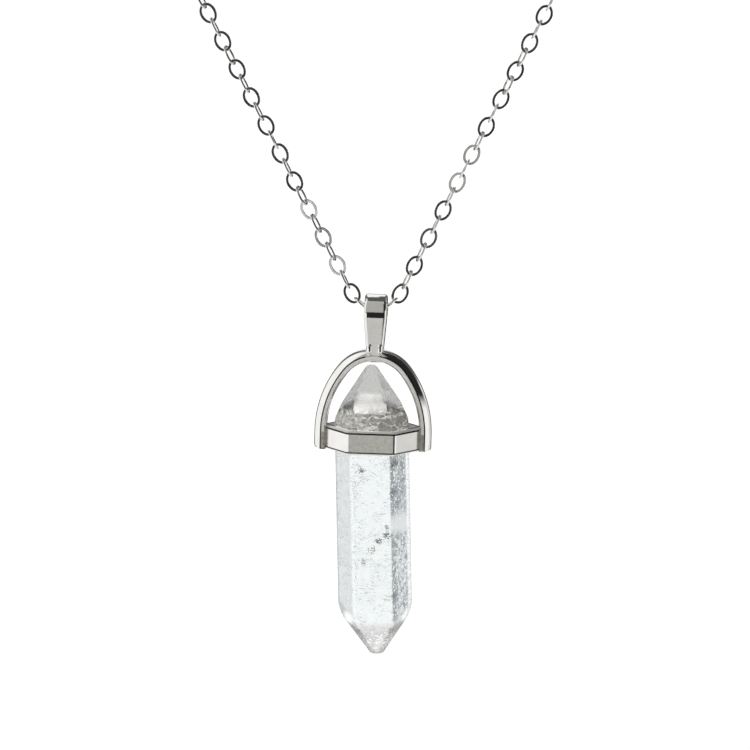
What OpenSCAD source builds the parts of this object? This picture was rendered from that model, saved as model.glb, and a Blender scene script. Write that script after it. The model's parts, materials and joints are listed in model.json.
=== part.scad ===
// A double-ended quartz point in a cast cap, hung by its bail on a fine oval cable chain.
// The origin is on the chain's line at the nape. The front faces -Y and up is +Z.

/* [Crystal] */
// Length from blunt tip to blunt tip
crystal_l = 34.6; // [30:0.1:42]
// Width across the side edges
crystal_w = 8.9; // [7.6:0.1:10]
// Depth from front face to back face
crystal_d = 7.4; // [6.4:0.1:8.4]
// Width of the front and back faces
crystal_face_w = 4.8; // [3.8:0.1:5.6]
// Height of the upper point
point_top_h = 6.4; // [5:0.1:7.5]
// Height of the lower point
point_bottom_h = 6.0; // [4.5:0.1:7.5]
// Rounding of the polished edges
crystal_round = 0.45; // [0.2:0.05:0.7]
// Lean of the crystal in its band, in degrees
crystal_lean = 2.5; // [-2.5:0.5:2.5]

/* [Cap] */
// Wall of the six-sided band
band_wall = 1.1; // [0.8:0.05:1.6]
// Height of the band
band_h = 2.85; // [2:0.05:4]
// Bevel round the band's upper and lower edges
band_bevel = 0.35; // [0.15:0.05:0.5]
// Height of the crystal's shoulder above the band
shoulder_stand = 0.8; // [0.4:0.1:1.5]
// Distance that an arch leg stands out past the band's corner
leg_stand = 1.25; // [0.9:0.05:1.8]
// Width of an arch leg
leg_w = 1.42; // [1.1:0.02:1.8]
// Thickness of the arch at its crown
crown_t = 1.2; // [0.9:0.05:1.6]
// Rise of the arch's outer curve above its straight legs
arch_rise = 10; // [8.6:0.1:10.8]
// Rise of the arch's inner curve
opening_rise = 7.5; // [6.6:0.1:8.4]
// Depth of the arch from front to back
arch_d = 2.3; // [1.8:0.1:3]
// Width of the bevel along the arch's outer edges
arch_bevel = 0.82; // [0.4:0.02:1]
// Depth that this bevel falls back
arch_fall = 0.65; // [0.3:0.05:0.8]
// Space between the arch and the crystal's upper tip
tip_gap = 0.8; // [0.5:0.1:2]
// Turn of the hanging cap to one side, in degrees
cap_roll = 1.4; // [-2:0.2:2]

/* [Bail] */
// Length from the bail's top to the arch
bail_l = 6.45; // [5.6:0.05:9]
// Width at the top
bail_top_w = 2.7; // [2.2:0.1:2.8]
// Width at the foot
bail_foot_w = 1.9; // [1.4:0.1:2.6]
// Wall of the bail's loop
bail_wall = 0.7; // [0.5:0.05:1]
// Depth of the foot from front to back
bail_foot_d = 2.2; // [1.8:0.1:2.6]
// Bevel along the bail's edges
bail_bevel = 0.4; // [0.2:0.05:0.5]

/* [Chain] */
// Outer length of a link
link_l = 2.58; // [2.4:0.02:3.2]
// Outer width of a link
link_w = 1.94; // [1.8:0.02:2.3]
// Diameter of the chain's wire
wire_d = 0.31; // [0.26:0.01:0.36]
// Pairs of links in each half
link_pairs = 58; // [50:1:60]
// Angle of each strand from upright
strand_angle = 27; // [22:1:36]
// Angle from upright of the two links that leave the bail
entry_angle = 50; // [44:1:56]
// Radius of the bend from the front strands to the back
bend_r = 30; // [20:1:40]
// Outer diameter of the rings that join the chain to the clasp
ring_d = 3; // [2.8:0.1:4]
// Wire of these rings
ring_wire = 0.5; // [0.4:0.05:0.6]
// Outer diameter of the clasp
clasp_d = 5.3; // [5:0.1:7]
// Wire of the clasp
clasp_wire = 0.9; // [0.7:0.05:1.1]
// Outer diameter of the clasp's eye
eye_d = 2.3; // [2.3:0.1:3]
// Wire of the eye
eye_wire = 0.45; // [0.35:0.05:0.5]

/* [Fits] */
// Space between the crystal and its band
seat_gap = 0.12; // [0.08:0.01:0.2]
// Space between linked wires
link_gap = 0.105; // [0.1:0.005:0.14]
// Space between the bail and the links that pass through it
bail_gap = 0.2; // [0.15:0.01:0.3]

/* [Hidden] */

silver = [0.78, 0.78, 0.77];
quartz = [0.9, 0.94, 0.94, 0.6];
cut = 1;
leg_foot_r = 0.5;
sharp_r = 0.01;
bail_narrow_r = 0.35;
bail_floor = 0.25;
ring_slack = 0.03;

// Each row is a section of a point: how far along it, and how wide it still is, as shares.
point_top = [[0.16, 0.9], [1, 0.05]];
point_bottom = [[0.24, 0.9], [1, 0.09]];

// Links: half lengths along the wire's centre, and the distance from one link to the next.
bow_r = (link_w - wire_d) / 2;
bow_x = (link_l - link_w) / 2;
reach = bow_x + bow_r;
slack = bow_r - wire_d - link_gap;
pitch = link_l - 2 * wire_d - link_gap;
last = 2 * link_pairs + 1;

// Directions as [x, z] pairs of a link at an angle from upright, and of the joint between two.
function lean(a) = [sin(a), cos(a)];
function halfway(a, b) = lean((a + b) / 2);

// The centre link lies level in the bail, the next one rises from it, and the third is on the strand.
entry_at = [bow_x, 0] + slack * halfway(90, entry_angle) + reach * lean(entry_angle);
strand_at = entry_at + reach * lean(entry_angle) + slack * halfway(entry_angle, strand_angle)
    + bow_x * lean(strand_angle);

// The clasp's row at the nape, as distances along the chain from the nape's middle.
ring_r = (ring_d - ring_wire) / 2;
clasp_r = (clasp_d - clasp_wire) / 2;
eye_r = (eye_d - eye_wire) / 2;
hold = link_gap + ring_slack;
link_to_ring = reach - wire_d / 2 - ring_wire / 2 - hold + ring_r;
ring_to_eye = ring_r - ring_wire / 2 - eye_wire / 2 - hold + eye_r;
eye_to_clasp = eye_r + clasp_r + eye_wire / 2;
clasp_to_ring = clasp_r - clasp_wire / 2 - ring_wire / 2 - hold + ring_r;
clasp_span = 2 * link_to_ring + ring_to_eye + eye_to_clasp + clasp_to_ring;
end_at = clasp_span / 2;

// The chain's line: a straight strand, a bend to the rear, and a half circle round the nape.
up = sin(strand_angle);
half_l = (last - 2) * pitch + end_at;
nape_r = (half_l + strand_at[0] / up + bend_r * (1 - PI / 2)) / (1 / up + PI / 2);
strand_l = (nape_r - strand_at[0]) / up - bend_r;
bend_l = bend_r * PI / 2;
front_y = -nape_r - bend_r;
hinge_z = -(strand_l + bend_r) * cos(strand_angle) - strand_at[1];

// Heights below the hinge's axis.
mouth_z = slack * halfway(90, entry_angle)[1]
    + (bail_top_w / 2 - bow_x - slack * halfway(90, entry_angle)[0]) / tan(entry_angle);
hole_r = norm([bow_r, mouth_z]) + wire_d / 2 + bail_gap;
bail_r = hole_r + bail_wall;
arch_top = bail_r - bail_l;
tip_top = arch_top - crown_t - tip_gap;
shoulder_top = tip_top - point_top_h;
band_top = shoulder_top - shoulder_stand;
band_mid = band_top - band_h / 2;
band_bottom = band_top - band_h;
shoulder_bottom = tip_top - crystal_l + point_bottom_h;

band_w = crystal_w + 2 * (seat_gap + band_wall);
band_d = crystal_d + 2 * (seat_gap + band_wall);
leg_x = band_w / 2 + leg_stand;
leg_h = arch_top - arch_rise - band_bottom;
opening_z = arch_top - crown_t - opening_rise;

// Corners of a six-sided section with flat faces at its front and back.
function six(w, d, face) = [
    [face / 2, -d / 2], [w / 2, 0], [face / 2, d / 2],
    [-face / 2, d / 2], [-w / 2, 0], [-face / 2, -d / 2]
];

// The same section with every face moved inwards, or outwards where the amount is negative.
function six_in(w, d, face, amount) =
    let (slant = atan2(w - face, d))
    six(w - 2 * amount / cos(slant), d - 2 * amount, face - 2 * amount * (1 - sin(slant)) / cos(slant));

// Points of an arc from one angle to another.
function arc(centre, r, from, to, steps) =
    [for (i = [0:steps]) centre + r * [cos(from + (to - from) * i / steps), sin(from + (to - from) * i / steps)]];

// A round arch of three arcs on straight legs, whose feet have rounded corners.
function arch(half_w, rise, leg, foot_r) =
    let (
        k = (rise - half_w) / 2,
        turn = atan2(3, 4),
        side = concat(
            arc([half_w - foot_r, foot_r - leg], foot_r, -90, 0, 6),
            arc([-4 * k, 0], half_w + 4 * k, 0, turn, 14)
        ),
        crown = arc([0, 3 * k], half_w - k, turn, 180 - turn, 18)
    )
    concat(side, crown, [for (i = [len(side) - 1:-1:0]) [-side[i][0], side[i][1]]]);

module upright(depth) {
    rotate([90, 0, 0]) linear_extrude(height = depth, center = true) children();
}

module across(r, h) {
    rotate([0, 90, 0]) cylinder(r = r, h = h, center = true, $fn = 64);
}

// Carries the pendant's own pieces to where they hang.
module hang() {
    translate([0, front_y, hinge_z]) rotate([0, cap_roll, 0]) children();
}

module bail_body() {
    foot_z = arch_top - crown_t / 2;
    foot_r = bail_foot_d / 2;
    hull() {
        across(bail_r, bail_top_w - 2 * bail_bevel);
        across(bail_r - bail_bevel, bail_top_w);
        translate([0, 0, foot_z]) across(foot_r, bail_foot_w - 2 * bail_bevel);
        translate([0, 0, foot_z]) across(foot_r - bail_bevel, bail_foot_w);
    }
}

// The loop's opening narrows downwards from the round seat of the chain.
module bail_hole() {
    low_z = arch_top + bail_narrow_r + bail_floor;
    slope = asin((hole_r - bail_narrow_r) / -low_z);
    side = [cos(slope), -sin(slope)];
    wide = bail_top_w + 2 * cut;
    high = hole_r * side;
    low = [0, low_z] + bail_narrow_r * side;
    across(hole_r, wide);
    translate([0, 0, low_z]) across(bail_narrow_r, wide);
    rotate([90, 0, 90]) linear_extrude(height = wide, center = true)
        polygon([high, low, [-low[0], low[1]], [-high[0], high[1]]]);
}

module arch_body() {
    leg = leg_h - arch_fall / 2;
    difference() {
        translate([0, 0, arch_top - arch_rise]) hull() {
            upright(arch_d - 2 * arch_fall) polygon(arch(leg_x, arch_rise, leg_h, leg_foot_r));
            upright(arch_d) polygon(arch(leg_x - arch_bevel, arch_rise - arch_bevel, leg, leg_foot_r));
        }
        translate([0, 0, opening_z]) upright(arch_d + cut)
            polygon(arch(leg_x - leg_w, opening_rise, opening_z - band_top, sharp_r));
    }
}

module band_body() {
    translate([0, 0, band_bottom]) hull() {
        translate([0, 0, band_bevel]) linear_extrude(height = band_h - 2 * band_bevel)
            polygon(six(band_w, band_d, band_w / 2));
        linear_extrude(height = band_h) polygon(six_in(band_w, band_d, band_w / 2, band_bevel));
    }
}

module seat() {
    translate([0, 0, band_bottom - cut]) linear_extrude(height = band_h + 2 * cut)
        polygon(six_in(crystal_w, crystal_d, crystal_face_w, -seat_gap));
}

module setting() {
    color(silver) hang() {
        difference() {
            bail_body();
            bail_hole();
        }
        difference() {
            union() {
                arch_body();
                band_body();
            }
            seat();
        }
    }
}

// One end of the crystal, from its shoulder to its blunt tip, as small spheres for a hull.
module point(rows, height, z, way) {
    for (row = rows, corner = six_in(crystal_w, crystal_d, crystal_face_w, crystal_round)) {
        rise = row[0] * height - (row[0] == 1 ? crystal_round : 0);
        translate([corner[0] * row[1], corner[1] * row[1], z + way * rise])
            sphere(r = crystal_round, $fn = 16);
    }
}

module crystal() {
    shoulder = [[0, 1]];
    color(quartz) hang() translate([0, 0, band_mid]) rotate([0, -crystal_lean, 0])
        translate([0, 0, -band_mid]) hull() {
            point(concat(shoulder, point_top), point_top_h, shoulder_top, 1);
            point(concat(shoulder, point_bottom), point_bottom_h, shoulder_bottom, -1);
        }
}

module half_bow(side) {
    rotate([0, 0, side]) translate([bow_x, 0, 0]) rotate([0, 0, -90])
        rotate_extrude(angle = 180, $fn = 48) translate([bow_r, 0]) circle(d = wire_d, $fn = 24);
}

// A link along X, flat in the XY plane: two half rings and two short straight sides.
module link() {
    half_bow(0);
    half_bow(180);
    for (y = [-bow_r, bow_r])
        translate([-bow_x, y, 0]) rotate([0, 90, 0]) cylinder(d = wire_d, h = 2 * bow_x, $fn = 24);
}

// Places a piece whose X axis runs along the chain and whose Y axis lies in its face.
module place(at, along, face) {
    normal = cross(along, face);
    multmatrix([
        [along[0], face[0], normal[0], at[0]],
        [along[1], face[1], normal[1], at[1]],
        [along[2], face[2], normal[2], at[2]],
        [0, 0, 0, 1]
    ]) children();
}

// Places a piece on the half circle round the nape, a distance along it from its middle.
// A turn of 0 stands its face upright, and 90 lays it level.
module at_nape(distance, turn) {
    a = distance / nape_r * 180 / PI;
    place(
        [nape_r * sin(a), nape_r * (cos(a) - 1), 0],
        [-cos(a), sin(a), 0],
        [sin(a) * sin(turn), cos(a) * sin(turn), cos(turn)]
    ) children();
}

// Places the right half's link number k. Even links face the front and odd ones stand edge-on.
module at_link(k) {
    s = (k - 2) * pitch;
    d = lean(strand_angle);
    odd = k % 2 == 1;
    if (k < 2) {
        a = k == 0 ? 90 : entry_angle;
        c = k == 0 ? [0, 0] : entry_at;
        place([c[0], front_y, hinge_z + c[1]], [lean(a)[0], 0, lean(a)[1]],
            odd ? [0, 1, 0] : [-lean(a)[1], 0, lean(a)[0]]) children();
    } else if (s < strand_l + bend_l) {
        turn = max(0, s - strand_l) / bend_r * 180 / PI;
        run = min(s, strand_l) + bend_r * sin(turn);
        along = [d[0] * cos(turn), sin(turn), d[1] * cos(turn)];
        level = [-d[1], 0, d[0]];
        place([strand_at[0] + d[0] * run, front_y + bend_r * (1 - cos(turn)), hinge_z + strand_at[1] + d[1] * run],
            along, odd ? cross(level, along) : level) children();
    } else {
        left = half_l - s;
        share = (left - end_at) / (nape_r * PI / 2 - end_at);
        at_nape(left, strand_angle * share + (odd ? 0 : 90)) children();
    }
}

module chain_right() {
    color(silver) for (k = [0:last]) at_link(k) link();
}

module chain_left() {
    color(silver) mirror([1, 0, 0]) for (k = [1:last]) at_link(k) link();
}

module wire_ring(r, d) {
    rotate_extrude($fn = 64) translate([r, 0]) circle(d = d, $fn = 24);
}

module ring_right() {
    color(silver) at_nape(end_at - link_to_ring, 90) wire_ring(ring_r, ring_wire);
}

module ring_left() {
    color(silver) mirror([1, 0, 0]) at_nape(end_at - link_to_ring, 90) wire_ring(ring_r, ring_wire);
}

module clasp() {
    color(silver) at_nape(end_at - link_to_ring - ring_to_eye - eye_to_clasp, 0) {
        wire_ring(clasp_r, clasp_wire);
        translate([-eye_to_clasp, 0, 0]) wire_ring(eye_r, eye_wire);
    }
}

setting();
crystal();
chain_left();
chain_right();
ring_left();
ring_right();
clasp();
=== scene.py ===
import json
import math
import random

import bpy
from mathutils import Matrix, Vector


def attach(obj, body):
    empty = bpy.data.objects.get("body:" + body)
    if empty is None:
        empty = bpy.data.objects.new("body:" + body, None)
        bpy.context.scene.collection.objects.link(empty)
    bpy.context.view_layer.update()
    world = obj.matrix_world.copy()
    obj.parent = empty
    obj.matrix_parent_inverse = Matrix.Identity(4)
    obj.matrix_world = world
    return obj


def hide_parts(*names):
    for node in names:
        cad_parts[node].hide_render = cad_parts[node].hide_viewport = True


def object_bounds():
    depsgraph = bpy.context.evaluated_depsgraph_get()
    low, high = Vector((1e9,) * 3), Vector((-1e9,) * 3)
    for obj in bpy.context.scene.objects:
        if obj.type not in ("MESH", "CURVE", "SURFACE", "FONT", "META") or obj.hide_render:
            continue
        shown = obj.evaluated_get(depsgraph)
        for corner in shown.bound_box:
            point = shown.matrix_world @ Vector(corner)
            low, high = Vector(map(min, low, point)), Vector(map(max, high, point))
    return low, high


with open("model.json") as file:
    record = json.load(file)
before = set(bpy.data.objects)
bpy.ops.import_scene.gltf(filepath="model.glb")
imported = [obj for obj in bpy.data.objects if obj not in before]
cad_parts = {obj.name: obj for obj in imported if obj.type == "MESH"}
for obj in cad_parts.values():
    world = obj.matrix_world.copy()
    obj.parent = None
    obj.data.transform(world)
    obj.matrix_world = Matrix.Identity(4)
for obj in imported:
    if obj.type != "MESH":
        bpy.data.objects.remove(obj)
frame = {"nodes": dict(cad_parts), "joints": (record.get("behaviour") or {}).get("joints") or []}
cad_lo, cad_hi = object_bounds()
MM = 0.001

# Lengths are in millimetres. Places on the pendant are measured from its hinge, before it hangs askew.
HINGE = Vector([metres / MM for metres in frame["joints"][0]["pos_m"]])
CAP_ROLL = math.radians(1.4)
CRYSTAL_LEAN = math.radians(2.5)

# The arch, whose two legs stand outside the band, with a flat raised strip along it in front and behind.
ARCH_TOP = -4.33
ARCH_RISE = 10
ARCH_D = 2.3
SPRING = ARCH_TOP - ARCH_RISE
LEG_X = 6.92
LEG_W = 1.42
LEG_H = 2.05
OUTER_BEVEL = 0.7
OUTER_ROUND = 0.42
INNER_BEVEL = 0.1
LEG_END_ROUND = 0.4
STRIP_INSET = 0.15
STRIP_RISE = 0.08

# The bail: a loop round the hinge that tapers to an end in the arch's top, with four small feet there.
# Its end covers the arch's fronts a little to each side and down.
BAIL_R = 2.12
BAIL_W = 2.7
BAIL_ROUND = 0.4
BAIL_END_R = 1.1
BAIL_END_Z = ARCH_TOP - 0.6
BAIL_END_SHARE = 0.7
BAIL_HOLE_R = 1.42
BAIL_HOLE_END_R = 0.35
BAIL_HOLE_CUT = 4
BAIL_FLOOR = 0.25
BAIL_COVER_X = 1
BAIL_COVER_H = 0.9
FOOT_X = 0.62
FOOT_Y = 1.12
FOOT_SIZE = (0.36, 0.42, 0.55)
FOOT_SINK = 0.05
FOOT_STRETCH = 0.35

# The six-sided band, with a sloped rim above and below. Its side corners lie in the legs, at BAND_SIDE_X.
BAND_TOP = -13.53
BAND_H = 2.85
BAND_MID = BAND_TOP - BAND_H / 2
BAND_R = 5.67
BAND_SIDE_X = 6.3
BAND_ROUND = 0.27
RIM_RISE = 0.26
RIM_IN = 0.42
RIM_BEVEL = 0.12
SEAT_IN = 0.38

# The quartz point. Each end has a way, a height, the share of it that is shoulder, and the shares of
# the crystal's girth at the shoulder's end and at the blunt tip.
CRYSTAL_W = 8.9
CRYSTAL_D = 7.4
CRYSTAL_FACE = 4.8
CRYSTAL_X = -0.12
CRYSTAL_ROUND = 0.34
SHOULDER_TOP = -12.73
SHOULDER_BOTTOM = -34.93
POINTS = (
    (1, 6.4, 0.3, 0.81, 0.14),
    (-1, 6.0, 0.24, 0.9, 0.18),
)

# The links, and how far each stands from the next. Their wire is a little thicker than the solids' and
# is rolled flat on two faces, WIRE_FLAT from its middle.
LINK_L = 2.58
LINK_W = 1.94
WIRE_D = 0.31
WIRE_SWELL = 0.02
WIRE_FLAT = 0.1
LINK_GAP = 0.105
PITCH = LINK_L - 2 * WIRE_D - LINK_GAP
BOW_R = (LINK_W - WIRE_D) / 2
BOW_X = (LINK_L - LINK_W) / 2
REACH = BOW_X + BOW_R
SLACK = BOW_R - WIRE_D - LINK_GAP

# Each half of the chain: an entry link, a straight strand, a bend at the shoulder and a quarter round
# the nape. Its last link stands NAPE_END from the nape's middle.
LAST_LINK = 117
ENTRY_SLANT = math.radians(50)
STRAND_SLANT = math.radians(27)
STRAND_L = 85.2088
BEND_R = 30
NAPE_R = -HINGE.y - BEND_R
HALF_L = 218.935
NAPE_END = 5.61

# How links turn about the chain's line, in degrees: every second one by EDGE_TURN, all of them in a slow
# wave, and each by chance.
EDGE_TURN = 9
WAVE_TURN = 5
WAVE_STEP = 0.37
CHANCE_TURN = 8

# The camera, and where it sees the hinge, in pixels of the picture.
AZIMUTH = math.radians(3)
ELEVATION = math.radians(9.5)
LENS = 400
PICTURE_PX = 750
PX_PER_MM = 8.5
HINGE_PX = (376, 311.8)

# What counts as the same place, and as a face that looks straight one way.
NEAR = 0.01
SQUARE_ON = 0.95

# A six-sided primitive turns by this to look forwards with a flat.
HALF_SIDE = math.radians(30)


# Camera

def make_camera():
    """Looks at the picture's middle from so far that the picture spans its width in millimetres."""
    back = Vector((
        math.sin(AZIMUTH) * math.cos(ELEVATION),
        -math.cos(AZIMUTH) * math.cos(ELEVATION),
        math.sin(ELEVATION),
    ))
    right = Vector((math.cos(AZIMUTH), math.sin(AZIMUTH), 0))
    up = back.cross(right)
    across, down = (px - PICTURE_PX / 2 for px in HINGE_PX)
    target = HINGE - right * across / PX_PER_MM + up * down / PX_PER_MM
    span = PICTURE_PX / PX_PER_MM
    data = bpy.data.cameras.new("camera")
    data.lens = LENS
    camera = bpy.data.objects.new("camera", data)
    bpy.context.scene.collection.objects.link(camera)
    camera.location = (target + back * span / 2 / (data.sensor_width / 2 / LENS)) * MM
    camera.rotation_mode = "QUATERNION"
    camera.rotation_quaternion = back.to_track_quat("Z", "Y")
    bpy.context.scene.camera = camera


make_camera()


# Modelling helpers

def take(piece):
    """Makes a piece the active one and the only one selected."""
    bpy.ops.object.select_all(action="DESELECT")
    piece.select_set(True)
    bpy.context.view_layer.objects.active = piece


def open_mesh(piece):
    """Opens a piece in edit mode with nothing selected."""
    take(piece)
    bpy.ops.object.mode_set(mode="EDIT")
    bpy.ops.mesh.select_mode(type="FACE")
    bpy.ops.mesh.select_all(action="DESELECT")


def pick(piece, kind, wanted):
    """Selects the faces, edges or corners whose places pass the test, faces with their normals."""
    bpy.ops.mesh.select_mode(type=kind)
    bpy.ops.mesh.select_all(action="DESELECT")
    bpy.ops.object.mode_set(mode="OBJECT")
    mesh = piece.data
    if kind == "FACE":
        for face in mesh.polygons:
            face.select = wanted(face.center / MM, face.normal)
    elif kind == "EDGE":
        for edge in mesh.edges:
            a, b = (mesh.vertices[i].co / MM for i in edge.vertices)
            edge.select = wanted(a, b)
    else:
        for corner in mesh.vertices:
            corner.select = wanted(corner.co / MM)
    bpy.ops.object.mode_set(mode="EDIT")


def close_mesh():
    bpy.ops.object.mode_set(mode="OBJECT")


def extrude(rise):
    """Raises what is selected by so many millimetres."""
    bpy.ops.mesh.extrude_region_move(TRANSFORM_OT_translate={"value": (0, 0, rise * MM)})


def scale(x, y=1, z=1, about_z=0):
    """Scales what is selected about the pendant's upright axis."""
    bpy.ops.transform.resize(value=(x, y, z), center_override=(0, 0, about_z * MM))


def named(name):
    """Takes the primitive just added as a piece of that name, with its place in its mesh."""
    piece = bpy.context.active_object
    piece.name = name
    piece.data.name = name
    bpy.ops.object.transform_apply(location=True, rotation=True, scale=True)
    return piece


def apply_modifier(piece, kind, **settings):
    """Adds a modifier with its settings and applies it."""
    take(piece)
    modifier = piece.modifiers.new(kind.lower(), kind)
    for key, value in settings.items():
        setattr(modifier, key, value)
    bpy.ops.object.modifier_apply(modifier=modifier.name)


def combine(piece, other, operation):
    """Joins the other piece to this one, or cuts it out, and removes it."""
    apply_modifier(piece, "BOOLEAN", object=other, operation=operation, solver="EXACT")
    bpy.data.objects.remove(other, do_unlink=True)


def hung(lean=0):
    """Where a piece that is modelled about the hinge hangs, leaning about the band's middle."""
    middle = Matrix.Translation((0, 0, BAND_MID * MM))
    turn = middle @ Matrix.Rotation(-lean, 4, "Y") @ middle.inverted()
    return Matrix.Translation(HINGE * MM) @ Matrix.Rotation(CAP_ROLL, 4, "Y") @ turn


def smooth(piece, angle):
    take(piece)
    bpy.ops.object.shade_smooth_by_angle(angle=math.radians(angle))


def finish_edges(piece, angle, least_flat):
    """Rounded edges shade smoothly, and the flats above an area in square millimetres stay flat."""
    smooth(piece, angle)
    for face in piece.data.polygons:
        if face.area > least_flat * MM * MM:
            face.use_smooth = False


def dress(piece, *materials):
    """Gives a piece these materials, in this order."""
    piece.data.materials.clear()
    for material in materials:
        piece.data.materials.append(material)


# The cast cap

def make_round(name, vertices, radius, width, z):
    """A cylinder that lies across the bail."""
    bpy.ops.object.select_all(action="DESELECT")
    bpy.ops.mesh.primitive_cylinder_add(
        vertices=vertices, radius=radius * MM, depth=width * MM,
        location=(0, 0, z * MM), rotation=(0, math.pi / 2, 0))
    return named(name)


def hull_of_rounds(name, upper_r, lower_r, lower_z, width):
    """A rounded loop outline: the hull of a round at the hinge and a smaller one below it."""
    upper = make_round(name, vertices=96, radius=upper_r, width=width, z=0)
    make_round("lower_round", vertices=64, radius=lower_r, width=width, z=lower_z)
    upper.select_set(True)
    bpy.context.view_layer.objects.active = upper
    bpy.ops.object.join()
    open_mesh(upper)
    bpy.ops.mesh.select_all(action="SELECT")
    bpy.ops.mesh.convex_hull()
    bpy.ops.mesh.select_all(action="SELECT")
    bpy.ops.mesh.dissolve_limited(angle_limit=math.radians(0.5))
    close_mesh()
    return upper


def make_bail():
    """The tapered loop, with its opening for the chain."""
    bail = hull_of_rounds("bail", BAIL_R, BAIL_END_R, BAIL_END_Z, BAIL_W)
    open_mesh(bail)
    # The sides draw in towards the lower end.
    pick(bail, "VERT", lambda at: at.z < BAIL_END_Z + BAIL_END_R)
    scale(BAIL_END_SHARE)
    pick(bail, "EDGE", lambda a, b: a.x * b.x > 0)
    bpy.ops.mesh.bevel(offset=BAIL_ROUND * MM, segments=7, profile=0.5, clamp_overlap=True)
    close_mesh()
    hole_end_z = ARCH_TOP + BAIL_HOLE_END_R + BAIL_FLOOR
    hole = hull_of_rounds("bail_hole", BAIL_HOLE_R, BAIL_HOLE_END_R, hole_end_z, BAIL_HOLE_CUT)
    combine(bail, hole, "DIFFERENCE")
    return bail


def make_arch():
    """The arch's section is drawn at one foot, raised up the leg and spun over three arcs to the other."""
    foot_z = SPRING - LEG_H
    bpy.ops.object.select_all(action="DESELECT")
    bpy.ops.mesh.primitive_plane_add(size=MM, location=((LEG_X - LEG_W / 2) * MM, 0, foot_z * MM))
    bpy.context.active_object.scale = (LEG_W, ARCH_D, 1)
    arch = named("arch")
    open_mesh(arch)
    for edge_x, offset, segments in (
        (LEG_X, OUTER_BEVEL, 1),
        (LEG_X, OUTER_ROUND, 5),
        (LEG_X - LEG_W, INNER_BEVEL, 1),
    ):
        pick(arch, "VERT", lambda at: abs(at.x - edge_x) < NEAR)
        bpy.ops.mesh.bevel(offset=offset * MM, segments=segments, affect="VERTICES")
    pick(arch, "FACE", lambda at, out: True)
    extrude(LEG_H)
    # The centres of the side arcs and of the top arc make two triangles with sides of 3, 4 and 5 units.
    unit = (ARCH_RISE - LEG_X) / 2
    turn = math.atan2(3, 4)
    for x, z, angle, steps in (
        (-4 * unit, 0, turn, 22),
        (0, 3 * unit, math.pi - 2 * turn, 48),
        (4 * unit, 0, turn, 22),
    ):
        bpy.ops.mesh.spin(
            steps=steps, angle=angle, center=(x * MM, 0, (SPRING + z) * MM), axis=(0, 1, 0))
    extrude(-LEG_H)
    bpy.ops.mesh.select_all(action="SELECT")
    bpy.ops.mesh.normals_make_consistent(inside=False)
    pick(arch, "EDGE", lambda a, b: (
        max(a.z, b.z) < foot_z + NEAR and abs(a.x + b.x) / 2 > LEG_X - OUTER_ROUND))
    bpy.ops.mesh.bevel(offset=LEG_END_ROUND * MM, segments=4)
    # The flat strip stands a little proud of the wide outer bevel, in front and behind.
    for way in (-1, 1):
        pick(arch, "FACE", lambda at, out: out.y * way > SQUARE_ON and abs(at.y) > ARCH_D / 2 - NEAR)
        bpy.ops.mesh.inset(thickness=STRIP_INSET * MM, depth=STRIP_RISE * MM)
    close_mesh()
    return arch


def make_band():
    """The six-sided band, open for the crystal."""
    bpy.ops.object.select_all(action="DESELECT")
    bpy.ops.mesh.primitive_cylinder_add(
        vertices=6, radius=BAND_R * MM, depth=(BAND_H - 2 * RIM_RISE) * MM,
        location=(0, 0, BAND_MID * MM), rotation=(0, 0, HALF_SIDE))
    band = named("band")
    open_mesh(band)
    # The side faces run on into the arch's legs, just behind their strips.
    pick(band, "VERT", lambda at: abs(at.y) < NEAR)
    scale(BAND_SIDE_X / BAND_R)
    pick(band, "EDGE", lambda a, b: abs(a.z - b.z) > NEAR)
    bpy.ops.mesh.bevel(offset=BAND_ROUND * MM, segments=6)
    # Each rim slopes in from the flats, then the flat ring inside it is opened for the crystal.
    flat = BAND_R * math.cos(HALF_SIDE)
    rim = flat - RIM_IN
    seat = rim - SEAT_IN
    for way in (-1, 1):
        pick(band, "FACE", lambda at, out: out.z * way > SQUARE_ON)
        extrude(way * RIM_RISE)
        scale(rim / flat, rim / flat)
    pick(band, "FACE", lambda at, out: abs(out.z) > SQUARE_ON)
    extrude(0)
    scale(seat / rim, seat / rim)
    bpy.ops.mesh.bridge_edge_loops()
    half = BAND_H / 2 - RIM_RISE
    pick(band, "EDGE", lambda a, b: (
        abs(abs(a.z - BAND_MID) - half) < NEAR and abs(a.z - b.z) < NEAR))
    bpy.ops.mesh.bevel(offset=RIM_BEVEL * MM, segments=1)
    close_mesh()
    return band


def make_bail_foot(x, y):
    """One of the rounded feet that the bail's side bevels end in, over the arch's outer bevel."""
    bpy.ops.object.select_all(action="DESELECT")
    bpy.ops.mesh.primitive_uv_sphere_add(
        segments=28, ring_count=16, radius=MM, location=(x * MM, y * MM, (ARCH_TOP - FOOT_SINK) * MM))
    bpy.context.active_object.scale = FOOT_SIZE
    foot = named("bail_foot")
    open_mesh(foot)
    pick(foot, "VERT", lambda at: at.z > ARCH_TOP)
    bpy.ops.transform.translate(value=(0, 0, FOOT_STRETCH * MM))
    close_mesh()
    return foot


# The order of the cap's finishes in its material slots.
SILVER, SATIN, ARCH_SATIN, PAINTED_SHADE, BAND_SATIN = range(5)


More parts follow.
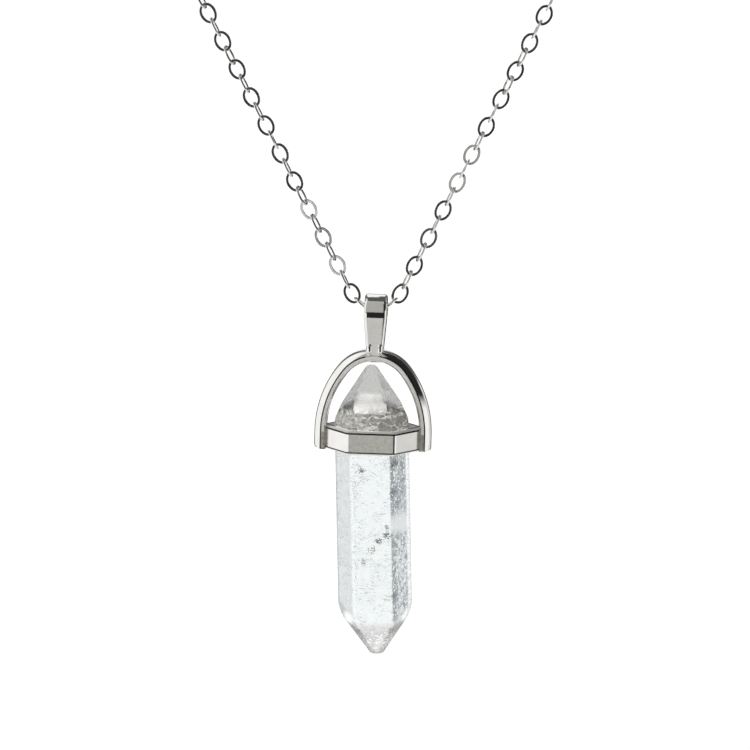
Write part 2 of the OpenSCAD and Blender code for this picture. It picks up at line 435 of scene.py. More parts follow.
def finish_at(at, out):
    """The finish of a face of the cap, by its middle and its normal."""
    off_bail = abs(at.x) > BAIL_COVER_X or at.z < ARCH_TOP - BAIL_COVER_H
    from_mid = abs(at.z - BAND_MID)

    # The band's inner wall and its sloped rims have the arch's satin.
    inner_r = BAND_R - 0.6
    inside = at.z < BAND_TOP and at.xy.length < inner_r and at.xy.dot(out.xy) < -0.5
    on_slope = abs(from_mid - BAND_H / 2) < RIM_RISE - 0.05 and 0.7 < abs(out.z) < SQUARE_ON
    if inside or on_slope:
        return ARCH_SATIN

    # The legs' inner faces are satin where they meet the band.
    past_leg = abs(at.x) - (LEG_X - LEG_W)
    if -0.3 < past_leg < 0.25 and at.x * out.x < 0 and at.z < BAND_TOP - 0.1:
        return SATIN

    # So are the fronts and backs, each in its own tone on the arch, the band's middle and the rest.
    straight_on = abs(out.y) > 0.985
    if straight_on and at.z < ARCH_TOP - 0.2 and off_bail:
        if at.z > SPRING:
            return ARCH_SATIN
        return BAND_SATIN if abs(at.x) < BAND_R / 2 + 0.3 else SATIN

    # Painted shade: dark lines along the outer steps of the arch's strips and round the band's two edges
    # stand in for shade and dark reflections.
    outward = Vector((at.x, 0, max(at.z - SPRING, 0)))
    step_y = ARCH_D / 2 + STRIP_RISE / 2
    on_step = abs(abs(at.y) - step_y) < STRIP_RISE / 4 and 0.7 < abs(out.y) < 0.9
    # Painted shade on the outward-facing step walls.
    if off_bail and on_step and out.dot(outward) > 0:
        return PAINTED_SHADE
    edge_z = BAND_H / 2 - RIM_RISE
    on_edge = abs(from_mid - edge_z) < 0.15 and 0.3 < abs(out.z) < 0.7
    between_legs = abs(at.x) < LEG_X - LEG_W - 0.1
    # Painted shade along the band's edges between the legs.
    if on_edge and between_legs and at.xy.length > 4.6:
        return PAINTED_SHADE
    return SILVER


def make_cap():
    """The arch, band, bail and feet as one casting, hung and finished."""
    cap = make_arch()
    cap.name = "cast_cap"
    cap.data.name = "cast_cap"
    pieces = [make_band(), make_bail()]
    pieces += [make_bail_foot(x, y) for x in (-FOOT_X, FOOT_X) for y in (-FOOT_Y, FOOT_Y)]
    for other in pieces:
        combine(cap, other, "UNION")
    open_mesh(cap)
    bpy.ops.mesh.select_all(action="SELECT")
    bpy.ops.mesh.remove_doubles(threshold=NEAR / 5 * MM)
    close_mesh()
    dress(cap, cap_silver, cap_satin, arch_satin, cap_painted_shade, band_satin)
    for face in cap.data.polygons:
        face.material_index = finish_at(face.center / MM, face.normal)
    cap.data.transform(hung())
    finish_edges(cap, angle=24, least_flat=1.2)
    return cap


# The crystal

def make_crystal():
    """A six-sided point, wider than deep, with a blunt point at each end."""
    length = SHOULDER_TOP - SHOULDER_BOTTOM
    bpy.ops.object.select_all(action="DESELECT")
    bpy.ops.mesh.primitive_cylinder_add(
        vertices=6, radius=CRYSTAL_W / 2 * MM, depth=length * MM,
        location=(CRYSTAL_X * MM, 0, (SHOULDER_TOP - length / 2) * MM), rotation=(0, 0, HALF_SIDE))
    crystal = named("quartz_point")
    open_mesh(crystal)
    regular_d = CRYSTAL_W * math.sin(2 * HALF_SIDE)
    pick(crystal, "VERT", lambda at: abs(at.y) > NEAR)
    scale(CRYSTAL_FACE / (CRYSTAL_W / 2), CRYSTAL_D / regular_d)
    for way, height, shoulder, neck, tip in POINTS:
        pick(crystal, "FACE", lambda at, out: out.z * way > SQUARE_ON)
        extrude(way * shoulder * height)
        scale(neck, neck)
        extrude(way * (1 - shoulder) * height)
        scale(tip / neck, tip / neck)
    # Tumbling has rounded every edge.
    bpy.ops.mesh.select_all(action="SELECT")
    bpy.ops.mesh.bevel(offset=CRYSTAL_ROUND * MM, segments=4, profile=0.5)
    close_mesh()
    dress(crystal, clear_quartz)
    crystal.data.transform(hung(CRYSTAL_LEAN))
    finish_edges(crystal, angle=40, least_flat=3)
    return crystal


# The chain

FORWARD = Vector((0, 1, 0))
UPWARD = Vector((0, 0, 1))


def slant(angle):
    """A direction out to the right, by its angle from straight up."""
    return Vector((math.sin(angle), 0, math.cos(angle)))


def link_place(at, along, face, turn):
    """A link's place: X runs along the chain and Y lies in its face, turned a little about X."""
    matrix = Matrix((along, face, along.cross(face))).transposed().to_4x4()
    return Matrix.Translation(at) @ matrix @ Matrix.Rotation(turn, 4, "X")


def at_link(k, turn):
    """The place of the right half's link number k, as the solids have it."""
    if k == 0:
        return link_place(HINGE, slant(math.pi / 2), UPWARD, turn)
    entry_at = (Vector((BOW_X, 0, 0)) + SLACK * slant((math.pi / 2 + ENTRY_SLANT) / 2)
                + REACH * slant(ENTRY_SLANT))
    if k == 1:
        return link_place(HINGE + entry_at, slant(ENTRY_SLANT), FORWARD, turn)
    strand_at = (entry_at + REACH * slant(ENTRY_SLANT) + SLACK * slant((ENTRY_SLANT + STRAND_SLANT) / 2)
                 + BOW_X * slant(STRAND_SLANT))
    gone = (k - 2) * PITCH
    if gone < STRAND_L + BEND_R * math.pi / 2:
        bend = max(0, gone - STRAND_L) / BEND_R
        run = min(gone, STRAND_L) + BEND_R * math.sin(bend)
        along = slant(STRAND_SLANT) * math.cos(bend) + FORWARD * math.sin(bend)
        level = Vector((-math.cos(STRAND_SLANT), 0, math.sin(STRAND_SLANT)))
        at = HINGE + strand_at + slant(STRAND_SLANT) * run + FORWARD * BEND_R * (1 - math.cos(bend))
        return link_place(at, along, level.cross(along) if k % 2 else level, turn)
    # Round the nape the links' faces turn from the strand's slant to upright and level.
    left = HALF_L - gone
    share = STRAND_SLANT * (left - NAPE_END) / (NAPE_R * math.pi / 2 - NAPE_END)
    tip = share + (0 if k % 2 else math.pi / 2)
    angle = left / NAPE_R
    outward = Vector((math.sin(angle), math.cos(angle), 0))
    along = Vector((-math.cos(angle), math.sin(angle), 0))
    face = outward * math.sin(tip) + UPWARD * math.cos(tip)
    return link_place(NAPE_R * (outward - FORWARD), along, face, turn)


def make_link():
    """An oval of wire, rolled flat on both faces."""
    bpy.ops.object.select_all(action="DESELECT")
    bpy.ops.curve.primitive_bezier_circle_add(radius=MM)
    oval = bpy.context.active_object
    oval.scale = (REACH, BOW_R, 1)
    bpy.ops.object.transform_apply(scale=True)
    oval.data.resolution_u = 5
    oval.data.bevel_depth = (WIRE_D / 2 + WIRE_SWELL) * MM
    oval.data.bevel_resolution = 2
    bpy.ops.object.convert(target="MESH")
    link = named("link")
    rolled_from = WIRE_FLAT - NEAR

    def on_line(at):
        """Whether a corner of a flat lies on the wire's middle line."""
        return abs(at.z) > rolled_from and abs(math.hypot(at.x / REACH, at.y / BOW_R) - 1) < 3 * NEAR

    open_mesh(link)
    for way in (-1, 1):
        pick(link, "VERT", lambda at: at.z * way > rolled_from)
        scale(1, 1, 0, about_z=way * WIRE_FLAT)
    pick(link, "EDGE", lambda a, b: on_line(a) and on_line(b))
    bpy.ops.mesh.dissolve_edges()
    close_mesh()
    smooth(link, angle=38)
    return link


def make_chain(name, link, numbers, side, chance):
    """Copies the link along one half of the chain, each with the small twist that a hung chain has."""
    flip = Matrix.Scale(side, 4, (1, 0, 0))
    copies = []
    for k in numbers:
        turn = (WAVE_TURN * math.sin(WAVE_STEP * k + side) + chance.uniform(-CHANCE_TURN, CHANCE_TURN)
                + (EDGE_TURN if k % 2 else 0))
        copy = link.copy()
        copy.data = link.data.copy()
        bpy.context.scene.collection.objects.link(copy)
        # The links at the bail lie straight, clear of it.
        where = at_link(k, math.radians(turn if k > 1 else 0))
        where.translation *= MM
        copy.data.transform(flip @ where @ flip)
        copies.append(copy)
    bpy.ops.object.select_all(action="DESELECT")
    for copy in copies:
        copy.select_set(True)
    bpy.context.view_layer.objects.active = copies[0]
    bpy.ops.object.join()
    chain = bpy.context.active_object
    chain.name = name
    chain.data.name = name
    dress(chain, chain_silver)
    return chain


# Material helpers

# Most of a noise's values lie between these two.
NOISE_LOW = 0.3
NOISE_HIGH = 0.7


def new_material(name):
    """A new material, its nodes and links, and its shader."""
    material = bpy.data.materials.new(name)
    material.use_nodes = True
    nodes, links = material.node_tree.nodes, material.node_tree.links
    return material, nodes, links, nodes["Principled BSDF"]


class Graph:
    """Shorthand for the sums inside a node tree."""

    def __init__(self, nodes, links):
        self.nodes = nodes
        self.links = links

    def feed(self, value, socket):
        if isinstance(value, bpy.types.NodeSocket):
            self.links.new(value, socket)
        else:
            socket.default_value = value

    def sum(self, kind, a, b=0.0, clamp=False):
        node = self.nodes.new("ShaderNodeMath")
        node.operation = kind
        node.use_clamp = clamp
        self.feed(a, node.inputs[0])
        self.feed(b, node.inputs[1])
        return node.outputs[0]

    def times(self, a, b):
        """Both masks at once, or a mask made weaker by a number."""
        return self.sum("MULTIPLY", a, b)

    def most(self, a, b):
        return self.sum("MAXIMUM", a, b)

    def rest(self, value):
        """The mask turned round, 1 where it was 0."""
        return self.sum("SUBTRACT", 1.0, value)

    def rise(self, value, low, high):
        """0 below the low value, 1 above the high one and smooth between."""
        node = self.nodes.new("ShaderNodeMapRange")
        node.interpolation_type = "SMOOTHSTEP"
        node.inputs["From Min"].default_value = low
        node.inputs["From Max"].default_value = high
        self.feed(value, node.inputs["Value"])
        return node.outputs["Result"]

    def fall(self, value, low, high):
        return self.rest(self.rise(value, low, high))

    def mix(self, factor, a, b):
        node = self.nodes.new("ShaderNodeMix")
        node.data_type = "RGBA"
        self.feed(factor, node.inputs["Factor"])
        for value, socket in ((a, node.inputs[6]), (b, node.inputs[7])):
            self.feed((*value, 1) if isinstance(value, tuple) else value, socket)
        return node.outputs[2]


# Silver

def make_patina_group():
    """Puts out a soft cloudy mask, a fine grain mask and a normal for cast and polished metal."""
    group = bpy.data.node_groups.new("polish_and_grain", "ShaderNodeTree")
    for name, way, kind in (
        ("Vector", "INPUT", "NodeSocketVector"),
        ("Cloud Scale", "INPUT", "NodeSocketFloat"),
        ("Grain Scale", "INPUT", "NodeSocketFloat"),
        ("Wave", "INPUT", "NodeSocketFloat"),
        ("Cloud", "OUTPUT", "NodeSocketFloat"),
        ("Grain", "OUTPUT", "NodeSocketFloat"),
        ("Normal", "OUTPUT", "NodeSocketVector"),
    ):
        group.interface.new_socket(name, in_out=way, socket_type=kind)
    nodes, links = group.nodes, group.links
    inputs = nodes.new("NodeGroupInput")
    outputs = nodes.new("NodeGroupOutput")
    cloud = nodes.new("ShaderNodeTexNoise")
    cloud.inputs["Detail"].default_value = 4
    grain = nodes.new("ShaderNodeTexNoise")
    grain.inputs["Detail"].default_value = 6
    grain.inputs["Roughness"].default_value = 0.7
    bump = nodes.new("ShaderNodeBump")
    bump.inputs["Distance"].default_value = 0.1 * MM
    links.new(inputs.outputs["Vector"], cloud.inputs["Vector"])
    links.new(inputs.outputs["Vector"], grain.inputs["Vector"])
    links.new(inputs.outputs["Cloud Scale"], cloud.inputs["Scale"])
    links.new(inputs.outputs["Grain Scale"], grain.inputs["Scale"])
    links.new(inputs.outputs["Wave"], bump.inputs["Strength"])
    links.new(cloud.outputs["Fac"], bump.inputs["Height"])
    links.new(cloud.outputs["Fac"], outputs.inputs["Cloud"])
    links.new(grain.outputs["Fac"], outputs.inputs["Grain"])
    links.new(bump.outputs["Normal"], outputs.inputs["Normal"])
    return group


def make_silver(name, patina, light, dark, rough, cloud_scale, grain_scale, wave, metallic=1):
    """Silver that clouds from a light to a dark colour, with a grain in its gloss and soft waves."""
    material, nodes, links, shader = new_material(name)
    coordinates = nodes.new("ShaderNodeTexCoord")
    finish = nodes.new("ShaderNodeGroup")
    finish.node_tree = patina
    finish.inputs["Cloud Scale"].default_value = cloud_scale
    finish.inputs["Grain Scale"].default_value = grain_scale
    finish.inputs["Wave"].default_value = wave
    links.new(coordinates.outputs["Object"], finish.inputs["Vector"])
    colour = nodes.new("ShaderNodeValToRGB")
    for element, place, shade in zip(colour.color_ramp.elements, (NOISE_LOW, NOISE_HIGH), (dark, light)):
        element.position = place
        element.color = (*shade, 1)
    links.new(finish.outputs["Cloud"], colour.inputs["Fac"])
    links.new(colour.outputs["Color"], shader.inputs["Base Color"])
    gloss = nodes.new("ShaderNodeMapRange")
    gloss.inputs["From Min"].default_value = NOISE_LOW
    gloss.inputs["From Max"].default_value = NOISE_HIGH
    gloss.inputs["To Min"].default_value, gloss.inputs["To Max"].default_value = rough
    links.new(finish.outputs["Grain"], gloss.inputs["Value"])
    links.new(gloss.outputs["Result"], shader.inputs["Roughness"])
    links.new(finish.outputs["Normal"], shader.inputs["Normal"])
    shader.inputs["Metallic"].default_value = metallic
    return material


# Quartz

BLACK = (0.0, 0.0, 0.0)
WHITE = (1.0, 1.0, 1.0)

# Where the stone's looks change, from one place to the next: across it, and then up it.
LEFT_SIDE_END = (-2.75, -2.45)
RIGHT_SIDE_START = (2.0, 2.25)
RIGHT_SIDE_END = (3.75, 3.95)
LOWER_TIP_END = (-37.3, -36.3)
CAP_SHADE_START = (-25, -23)
BAND_VEIL_START = (-14.5, -13.6)
BAND_VEIL_END = (-11.5, -10.9)
BAND_GLOW_END = (-11.4, -11.1)
UPPER_FROST_START = (-11.3, -10.6)

# The front face's dark veil, which fades to brown, and the four spots about it: the middle of each, its
# reach each way and its colour.
DARK_SPOTS = (
    ((1.65, -2, -25.2), (0.6, 9, 0.9), (0.08, 0.08, 0.08)),
    ((1.6, -2, -26.1), (1.3, 9, 0.9), BLACK),
    ((0.7, -2, -26.8), (1.1, 9, 0.9), (0.01, 0.01, 0.01)),
    ((-0.1, -2, -27.8), (1.2, 9, 1.2), (0.2, 0.17, 0.12)),
    ((-1.2, -2, -29.3), (0.7, 9, 1.1), (0.2, 0.19, 0.18)),
    ((2.6, -2, -17.6), (0.9, 9, 1.1), BLACK),
    ((-1.2, -2, -18.3), (0.9, 9, 0.9), (0.02, 0.02, 0.02)),
    ((2.5, -2, -21.0), (1.0, 9, 1.9), (0.02, 0.03, 0.05)),
    ((2.4, -2, -33.5), (0.8, 9, 1.6), (0.03, 0.04, 0.05)),
)


class Stone(Graph):
    """The crystal's own coordinates in millimetres from the hinge, and the flaws that its colours share."""

    def __init__(self, nodes, links):
        super().__init__(nodes, links)
        upright = hung(CRYSTAL_LEAN).inverted()
        coordinates = nodes.new("ShaderNodeTexCoord")
        local = nodes.new("ShaderNodeMapping")
        local.inputs["Scale"].default_value = (1 / MM, 1 / MM, 1 / MM)
        local.inputs["Rotation"].default_value = upright.to_euler()
        local.inputs["Location"].default_value = upright.translation / MM
        links.new(coordinates.outputs["Object"], local.inputs["Vector"])
        self.at = local.outputs["Vector"]
        split = nodes.new("ShaderNodeSeparateXYZ")
        links.new(self.at, split.inputs["Vector"])
        self.x, self.y, self.z = (split.outputs[axis] for axis in "XYZ")
        self.cloudy = self.flecks(scale=1.6, low=0.38, high=0.62)
        self.bright_flecks = self.flecks(scale=3.6, low=0.56, high=0.62)
        self.veins = self.lines(scale=0.5, detail=5, stretch=(0.8, 0.8, 1.8), thin=0.018)
        self.right_side = self.times(
            self.rise(self.x, *RIGHT_SIDE_START), self.fall(self.x, *RIGHT_SIDE_END))
        self.above_band = self.rise(self.z, *BAND_VEIL_START)
        self.lower_tip = self.fall(self.z, *LOWER_TIP_END)
        self.seat = self.fall(self.z, *BAND_VEIL_END)
        # Painted shade: a mask that grows towards the right.
        self.right_shade = self.rise(self.x, -2.5, 2.5)

    def noise(self, scale, detail=4, stretch=(1, 1, 1)):
        moved = self.nodes.new("ShaderNodeMapping")
        moved.inputs["Scale"].default_value = stretch
        self.links.new(self.at, moved.inputs["Vector"])
        node = self.nodes.new("ShaderNodeTexNoise")
        node.inputs["Scale"].default_value = scale
        node.inputs["Detail"].default_value = detail
        self.links.new(moved.outputs["Vector"], node.inputs["Vector"])
        return node.outputs["Fac"]

    def flecks(self, scale, low, high, detail=5, stretch=(1, 1, 1)):
        """Spots where a noise is high."""
        return self.rise(self.noise(scale, detail, stretch), low, high)

    def lines(self, scale, detail, stretch, thin):
        """Thin lines where a noise crosses its middle."""
        away = self.sum("ABSOLUTE", self.sum("SUBTRACT", self.noise(scale, detail, stretch), 0.5))
        return self.fall(away, thin * 0.2, thin)

    def near(self, centre, radii):
        """A mask that is 1 at a centre and 0 outside the radii."""
        moved = self.nodes.new("ShaderNodeMapping")
        moved.inputs["Location"].default_value = [-c / r for c, r in zip(centre, radii)]
        moved.inputs["Scale"].default_value = [1 / r for r in radii]
        self.links.new(self.at, moved.inputs["Vector"])
        size = self.nodes.new("ShaderNodeVectorMath")
        size.operation = "LENGTH"
        self.links.new(moved.outputs["Vector"], size.inputs[0])
        return self.sum("SUBTRACT", 1.0, size.outputs["Value"], clamp=True)


def front_colour(stone):
    """Clear quartz with specks and with patches of level cracks, most of them near the face's two edges."""
    edge = stone.rise(stone.sum("ABSOLUTE", stone.sum("ADD", stone.x, 0.1)), 0.6, 2.2)
    patches = stone.rise(stone.sum("ADD", stone.noise(0.6, 3), stone.times(edge, 0.06)), 0.5, 0.6)
    cracks = stone.times(stone.lines(scale=1.3, detail=6, stretch=(0.6, 0.6, 2.4), thin=0.014), patches)
    specks = stone.flecks(scale=6.5, low=0.66, high=0.7, detail=3)
    flaws = stone.most(cracks, stone.times(specks, 0.7))
    clear = stone.mix(stone.cloudy, (0.9, 0.96, 0.96), (0.99, 1.0, 1.0))
    return stone.mix(stone.times(flaws, 0.93), clear, (0.05, 0.06, 0.07))


def right_colour(stone):
    """The cloudy right side, darkest along its ragged left margin, with painted shade near the cap, and with
    one plain patch.
    """
    dark_flecks = stone.flecks(scale=2.9, low=0.6, high=0.68, stretch=(1, 1, 0.7))
    ragged = stone.sum("SUBTRACT", stone.x, stone.times(stone.noise(1.2), 1.2))
    margin = stone.fall(ragged, 1.8, 2.1)
    shade_near_cap = stone.rise(stone.z, *CAP_SHADE_START)
    plain = stone.near((3.2, -2, -24.9), (3, 12, 1.8))
    mottled = stone.mix(stone.cloudy, (0.04, 0.06, 0.08), (0.5, 0.55, 0.58))
    mottled = stone.mix(dark_flecks, mottled, (0.005, 0.008, 0.01))
    mottled = stone.mix(stone.times(margin, 0.8), mottled, (0.01, 0.015, 0.02))
    # Painted shade: darker near the cap.
    mottled = stone.mix(stone.times(shade_near_cap, 0.55), mottled, (0.02, 0.03, 0.04))
    mottled = stone.mix(stone.bright_flecks, mottled, WHITE)
    return stone.mix(stone.rise(plain, 0, 0.75), mottled, (0.6, 0.63, 0.65))


def upper_colour(stone):
    """The clear upper point, veiled with white veins where it sits in the band, with painted shade that
    darkens it to the right.
    """
    white = stone.most(stone.veins, stone.times(stone.bright_flecks, 0.7))
    veiled = stone.mix(stone.cloudy, (0.6, 0.58, 0.57), (0.92, 0.91, 0.9))
    veiled = stone.mix(white, veiled, WHITE)
    # Painted shade: the upper point darkens to the right.
    veiled = stone.mix(stone.times(stone.right_shade, 0.7), veiled, (0.36, 0.35, 0.31))
    return stone.mix(stone.seat, (0.97, 0.97, 0.94), veiled)


def quartz_colour(stone):
    """The front's colour, then the sides', the upper point's and the lower tip's, and the dark spots."""
    left_side = stone.fall(stone.x, *LEFT_SIDE_END)
    left_colour = stone.mix(stone.cloudy, (0.5, 0.52, 0.53), (0.6, 0.61, 0.61))
    lower_colour = stone.mix(stone.cloudy, (0.72, 0.73, 0.72), (0.86, 0.87, 0.86))
    colour = stone.mix(stone.times(left_side, 0.9), front_colour(stone), left_colour)
    colour = stone.mix(stone.times(stone.right_side, 0.92), colour, right_colour(stone))
    colour = stone.mix(stone.above_band, colour, upper_colour(stone))
    colour = stone.mix(stone.lower_tip, colour, lower_colour)
    for centre, radii, shade in DARK_SPOTS:
        spot = stone.sum("POWER", stone.near(centre, radii), 0.5)
        mask = stone.rise(stone.times(spot, stone.noise(6.0)), 0.39, 0.43)
        colour = stone.mix(stone.times(mask, 0.95), colour, shade)
    return colour


def quartz_roughness(stone):
    """Polished faces, a little frost on both points and less on the cloudy right side."""
    points = stone.most(stone.rise(stone.z, *UPPER_FROST_START), stone.lower_tip)
    frost = stone.sum("ADD", stone.times(points, 0.2), stone.times(stone.right_side, 0.08))
    return stone.sum("ADD", frost, 0.02)


def quartz_relief(stone):
    """Slow waves, with the flecks of the right side and the veins near the band."""
    side_flecks = stone.times(stone.bright_flecks, stone.right_side)
    seat_veins = stone.times(stone.veins, stone.seat)
    flaws = stone.most(side_flecks, seat_veins)
    return stone.sum("ADD", stone.noise(0.35, 2), stone.times(flaws, 0.5))


def quartz_painted_glow(stone):
    """Painted glow: emission that stands in for the light that veins and cloudiness scatter, above the band
    and in the lower tip, and painted highlights on the lower shoulders.
    """
    facing = stone.fall(stone.y, -1, 1)
    low = stone.fall(stone.z, *BAND_GLOW_END)
    haze_glow = stone.mix(stone.cloudy, BLACK, (0.16, 0.16, 0.15))
    # Painted shade: the glow fades to the right.
    haze_glow = stone.mix(stone.right_shade, haze_glow, (0.01, 0.01, 0.01))
    white = stone.most(stone.veins, stone.times(stone.bright_flecks, 0.35))
    haze_glow = stone.mix(white, haze_glow, (0.45, 0.45, 0.44))
    glow = stone.mix(stone.times(stone.times(low, stone.above_band), facing), BLACK, haze_glow)
    # Painted highlights on the rounded edges of the lower shoulders.
    left_shoulder_highlight = stone.near((-3.3, -1.5, -36.4), (0.9, 4, 1.1))
    right_shoulder_highlight = stone.near((3.5, -1.5, -36.2), (0.7, 4, 1.1))
    in_tip = stone.near((0.4, -2, -38.9), (3.4, 6, 1.8))
    tip_veins = stone.times(stone.most(stone.veins, stone.bright_flecks), in_tip)
    return stone.mix(stone.most(stone.most(left_shoulder_highlight, right_shoulder_highlight), tip_veins), glow, (0.6, 0.6, 0.6))


def make_quartz():
    """Clear quartz with fine level cracks in front, a cloudy right side and veined points."""
    material, nodes, links, shader = new_material("clear_quartz")
    stone = Stone(nodes, links)
    links.new(quartz_colour(stone), shader.inputs["Base Color"])
    links.new(quartz_roughness(stone), shader.inputs["Roughness"])
    bump = nodes.new("ShaderNodeBump")
    bump.inputs["Strength"].default_value = 0.25
    bump.inputs["Distance"].default_value = 0.1 * MM
    links.new(quartz_relief(stone), bump.inputs["Height"])
    links.new(bump.outputs["Normal"], shader.inputs["Normal"])
    # Painted glow and highlights: the crystal gives out light of its own, though it is no lamp.
    links.new(quartz_painted_glow(stone), shader.inputs["Emission Color"])
    shader.inputs["Emission Strength"].default_value = 1
    shader.inputs["IOR"].default_value = 1.54
    shader.inputs["Transmission Weight"].default_value = 1
    return material


# Finishes

patina = make_patina_group()
cap_silver = make_silver(
    "cap_silver", patina, light=(0.94, 0.93, 0.91), dark=(0.86, 0.85, 0.83), rough=(0.05, 0.12),
    cloud_scale=500, grain_scale=6000, wave=0.1)
cap_satin = make_silver(
    "cap_satin", patina, light=(1.0, 0.97, 0.9), dark=(0.7, 0.66, 0.6), rough=(0.5, 0.68),
    cloud_scale=2400, grain_scale=12000, wave=0.6)
arch_satin = make_silver(
    "arch_satin", patina, light=(1.0, 0.98, 0.95), dark=(0.93, 0.91, 0.88), rough=(0.78, 0.95),
    cloud_scale=1200, grain_scale=9000, wave=0.4, metallic=0.55)
band_satin = make_silver(
    "band_satin", patina, light=(1.0, 1.0, 0.94), dark=(0.78, 0.78, 0.72), rough=(0.5, 0.68),
    cloud_scale=2400, grain_scale=12000, wave=0.6, metallic=0.75)
# Painted shade: near black silver for the dark lines that stand in for shade and dark reflections.
cap_painted_shade = make_silver(
    "cap_painted_shade", patina, light=(0.07, 0.065, 0.06), dark=(0.02, 0.02, 0.02), rough=(0.5, 0.7),
    cloud_scale=1500, grain_scale=12000, wave=0.3)
chain_silver = make_silver(
    "chain_silver", patina, light=(0.92, 0.92, 0.91), dark=(0.82, 0.82, 0.81), rough=(0.16, 0.28),
    cloud_scale=900, grain_scale=8000, wave=0.2)
clear_quartz = make_quartz()


# Pieces

cap = make_cap()
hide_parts("setting")
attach(cap, "pendant")

quartz = make_crystal()
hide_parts("crystal")
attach(quartz, "pendant")

link = make_link()
chance = random.Random(11)
for half, first, side in (("right", 0, 1), ("left", 1, -1)):
    chain = make_chain("links_" + half, link, range(first, LAST_LINK + 1), side, chance)
    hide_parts("chain_" + half)
    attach(chain, "necklace")
bpy.data.objects.remove(link, do_unlink=True)

for node in ("ring_left", "ring_right", "clasp"):
    for material_slot in frame["nodes"][node].material_slots:
        material_slot.material = chain_silver


# Studio

DARK_CARD = (0.02, 0.02, 0.02)
DIM_CARD = (0.1, 0.1, 0.1)

# Cards round the studio as polished metal mirrors them: azimuth from the front and elevation of the
# middle, half width, half height and softness, all in degrees, and brightness.
CARDS = (
    ("front_high", 0, 37, 60, 43, 5, (0.43, 0.43, 0.41)),
    ("overhead", 110, 74, 75, 24, 3, DIM_CARD),
    ("zenith", 0, 90, 400, 13, 3, DIM_CARD),
    ("overhead_rear", 180, 75, 70, 14, 3, DIM_CARD),
    ("overhead_rear_left", -180, 75, 60, 14, 3, DIM_CARD),
    ("rear", 180, -6, 50, 26, 6, DIM_CARD),
    ("rear_left", -180, -6, 50, 26, 6, DIM_CARD),
    ("rear_left_high", -142, 40, 20, 24, 5, DIM_CARD),
    ("rear_right_high", 134, 34, 32, 20, 5, DIM_CARD),
    ("right_screen", 32, 10, 26, 52, 4, DARK_CARD),
    ("front_low", 0, -52, 40, 22, 4, (0.55, 0.55, 0.53)),
    ("right_grey", 112, -8, 18, 26, 6, (0.72, 0.72, 0.7)),
    ("front", 3, -13, 24, 19.5, 2, DARK_CARD),
    ("right_flag", 76, 42, 34, 38, 8, DARK_CARD),
)
CARD_SETTINGS = ("Middle", "Height", "Half Width", "Half Height", "Softness")
SEEN_THROUGH = 0.86

# The floor and what the lights aim at, in metres.
FLOOR_SIZE = 12
FLOOR_DROP = 0.02
AIM_DROP = 0.02


def make_card_group():
    """A mask for one soft-edged card, from a direction's azimuth and elevation in degrees."""
    group = bpy.data.node_groups.new("card", "ShaderNodeTree")
    for name in ("Azimuth", "Elevation", *CARD_SETTINGS):
        group.interface.new_socket(name, in_out="INPUT", socket_type="NodeSocketFloat")
    group.interface.new_socket("Mask", in_out="OUTPUT", socket_type="NodeSocketFloat")
    g = Graph(group.nodes, group.links)
    inputs = group.nodes.new("NodeGroupInput").outputs
    outputs = group.nodes.new("NodeGroupOutput").inputs

    def within(angle, middle, half):
        away = g.sum("ABSOLUTE", g.sum("SUBTRACT", inputs[angle], inputs[middle]))
        return g.sum("DIVIDE", g.sum("SUBTRACT", inputs[half], away), inputs["Softness"], clamp=True)

    across = within("Azimuth", "Middle", "Half Width")
    upward = within("Elevation", "Height", "Half Height")
    group.links.new(g.times(across, upward), outputs["Mask"])
    return group


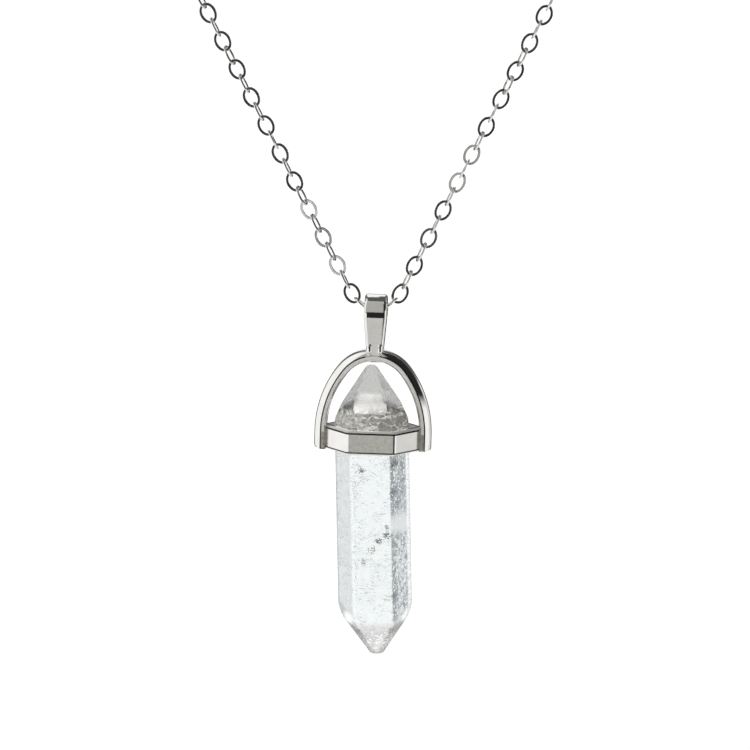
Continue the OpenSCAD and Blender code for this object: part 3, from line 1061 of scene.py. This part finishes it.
def make_world():
    """A soft white studio with the darker cards that give polished metal its edges."""
    world = bpy.data.worlds.new("studio")
    bpy.context.scene.world = world
    world.use_nodes = True
    nodes, links = world.node_tree.nodes, world.node_tree.links
    nodes.clear()
    g = Graph(nodes, links)
    ray = nodes.new("ShaderNodeLightPath").outputs
    coordinates = nodes.new("ShaderNodeTexCoord")
    split = nodes.new("ShaderNodeSeparateXYZ")
    links.new(coordinates.outputs["Generated"], split.inputs["Vector"])
    ahead = g.times(split.outputs["Y"], -1.0)
    azimuth = g.sum("DEGREES", g.sum("ARCTAN2", split.outputs["X"], ahead))
    elevation = g.sum("DEGREES", g.sum("ARCSINE", split.outputs["Z"]))
    colour = g.mix(g.rise(elevation, -60, 0), (0.85, 0.85, 0.84), (1.0, 1.0, 1.0))
    card_group = make_card_group()
    for name, *settings, shade in CARDS:
        card = nodes.new("ShaderNodeGroup")
        card.name = name
        card.node_tree = card_group
        links.new(azimuth, card.inputs["Azimuth"])
        links.new(elevation, card.inputs["Elevation"])
        for key, value in zip(CARD_SETTINGS, settings):
            card.inputs[key].default_value = value
        mask = card.outputs["Mask"]
        # The rear cards don't show through the crystal.
        if name.startswith("rear"):
            mask = g.times(mask, g.rest(ray["Is Transmission Ray"]))
        colour = g.mix(mask, colour, shade)
    studio = nodes.new("ShaderNodeBackground")
    links.new(colour, studio.inputs["Color"])
    # The camera sees plain white behind the object, and most of it through the crystal.
    plain = nodes.new("ShaderNodeBackground")
    plain.inputs["Color"].default_value = (1, 1, 1, 1)
    choice = nodes.new("ShaderNodeMixShader")
    seen_through = g.times(ray["Is Transmission Ray"], SEEN_THROUGH)
    links.new(g.most(ray["Is Camera Ray"], seen_through), choice.inputs["Fac"])
    links.new(studio.outputs["Background"], choice.inputs[1])
    links.new(plain.outputs["Background"], choice.inputs[2])
    out = nodes.new("ShaderNodeOutputWorld")
    links.new(choice.outputs["Shader"], out.inputs["Surface"])


def make_floor():
    """A pale floor far below the hanging crystal."""
    bpy.ops.object.select_all(action="DESELECT")
    bpy.ops.mesh.primitive_plane_add(size=FLOOR_SIZE, location=(0, 0, cad_lo.z - FLOOR_DROP))
    floor = named("floor")
    material, nodes, links, shader = new_material("pale_floor")
    shader.inputs["Base Color"].default_value = (0.93, 0.93, 0.93, 1)
    shader.inputs["Roughness"].default_value = 0.8
    shader.inputs["Emission Color"].default_value = (1, 1, 1, 1)
    shader.inputs["Emission Strength"].default_value = 0.55
    floor.data.materials.append(material)
    floor.visible_glossy = False
    floor.visible_transmission = False


def make_light(name, at, size, power, aim):
    """A rectangular softbox that isn't mirrored in the metal or seen through the crystal."""
    data = bpy.data.lights.new(name, "AREA")
    data.shape = "RECTANGLE"
    data.size, data.size_y = size
    data.energy = power
    light = bpy.data.objects.new(name, data)
    bpy.context.scene.collection.objects.link(light)
    light.location = Vector(at)
    light.rotation_mode = "QUATERNION"
    light.rotation_quaternion = (Vector(at) - Vector(aim)).to_track_quat("Z", "Y")
    light.visible_glossy = False
    light.visible_transmission = False


make_world()
make_floor()
pendant_at = HINGE * MM + Vector((0, 0, -AIM_DROP))
make_light("left_softbox", at=(-0.6, -0.15, 0.1), size=(0.35, 0.6), power=0.9, aim=pendant_at)
make_light("rear_softbox", at=(0.2, 0.6, 0.35), size=(0.6, 0.4), power=1.2, aim=pendant_at)
bpy.context.scene.view_settings.view_transform = "Standard"
